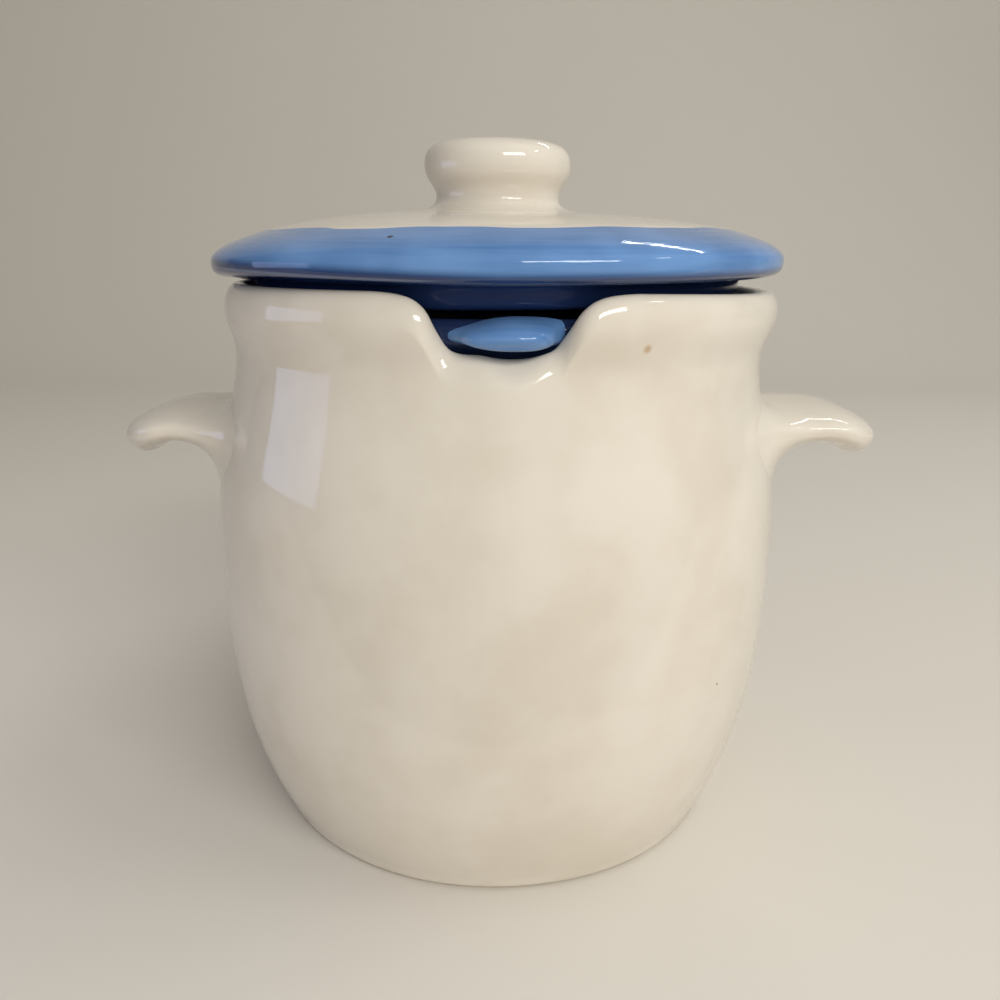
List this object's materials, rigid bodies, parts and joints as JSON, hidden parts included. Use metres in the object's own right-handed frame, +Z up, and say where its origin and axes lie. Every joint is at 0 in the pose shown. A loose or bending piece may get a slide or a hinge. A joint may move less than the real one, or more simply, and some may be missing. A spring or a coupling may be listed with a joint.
{
  "type": "grease jar",
  "caption": "Lidded glazed grease jar with a pouring notch in the rim, side thumb lugs, a perforated drop-in strainer and a knobbed lid.",
  "frame": {"origin": "on the table under the jar's axis", "axes": "+Z up out of the mouth, -Y out of the pouring notch in the front of the rim, +X along the right lug"},
  "size_m": [0.1909, 0.1432, 0.1679],
  "materials": {
    "cream_glaze": "gloss",
    "blue_glaze": "gloss"
  },
  "bodies": {
    "jar": {"jar_body": "cream_glaze", "right_lug": "cream_glaze", "left_lug": "cream_glaze"},
    "strainer": {"strainer_dish": "blue_glaze", "strainer_tab": "blue_glaze"},
    "lid": {"lid": "blue_glaze", "lid_knob": "cream_glaze"}
  },
  "joints": [
    {"name": "strainer_lift", "type": "slide", "parent": "jar", "child": "strainer", "axis": [0, 0, 1], "range_m": [0, 0.045]},
    {"name": "lid_lift", "type": "slide", "parent": "strainer", "child": "lid", "axis": [0, 0, 1], "range_m": [0, 0.06]}
  ]
}
